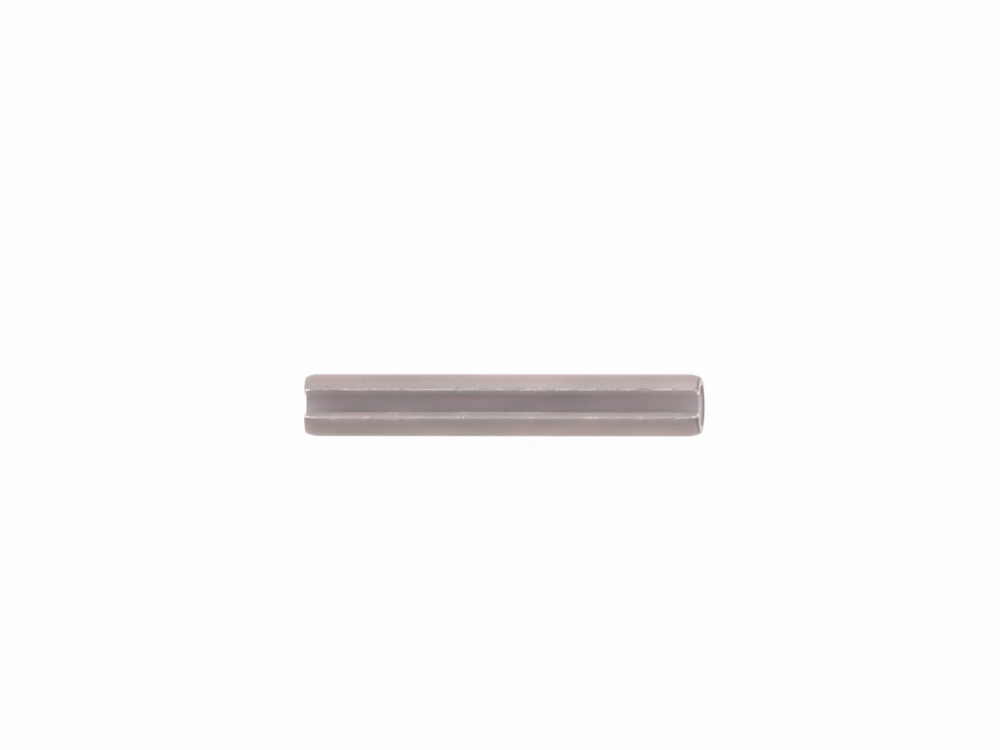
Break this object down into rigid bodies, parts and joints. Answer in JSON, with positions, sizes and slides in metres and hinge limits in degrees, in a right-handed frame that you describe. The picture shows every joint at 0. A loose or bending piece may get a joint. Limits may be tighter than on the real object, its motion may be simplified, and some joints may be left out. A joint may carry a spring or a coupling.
{
  "type": "slotted spring pin",
  "caption": "Slotted spring pin: a steel strip rolled into an open tube with rounded leads at both ends, which holds by its own spring in a drilled hole.",
  "frame": {"origin": "on the pin's axis, halfway along its length", "axes": "+X along the pin's axis; +Z out through the middle of the slot"},
  "size_m": [0.035, 0.0054, 0.0051],
  "materials": {
    "spring_steel": "soft satin grey, faintly mottled, with brighter broken edges along the slot"
  },
  "bodies": {
    "root": {"spring_pin": "spring_steel"}
  },
  "joints": []
}
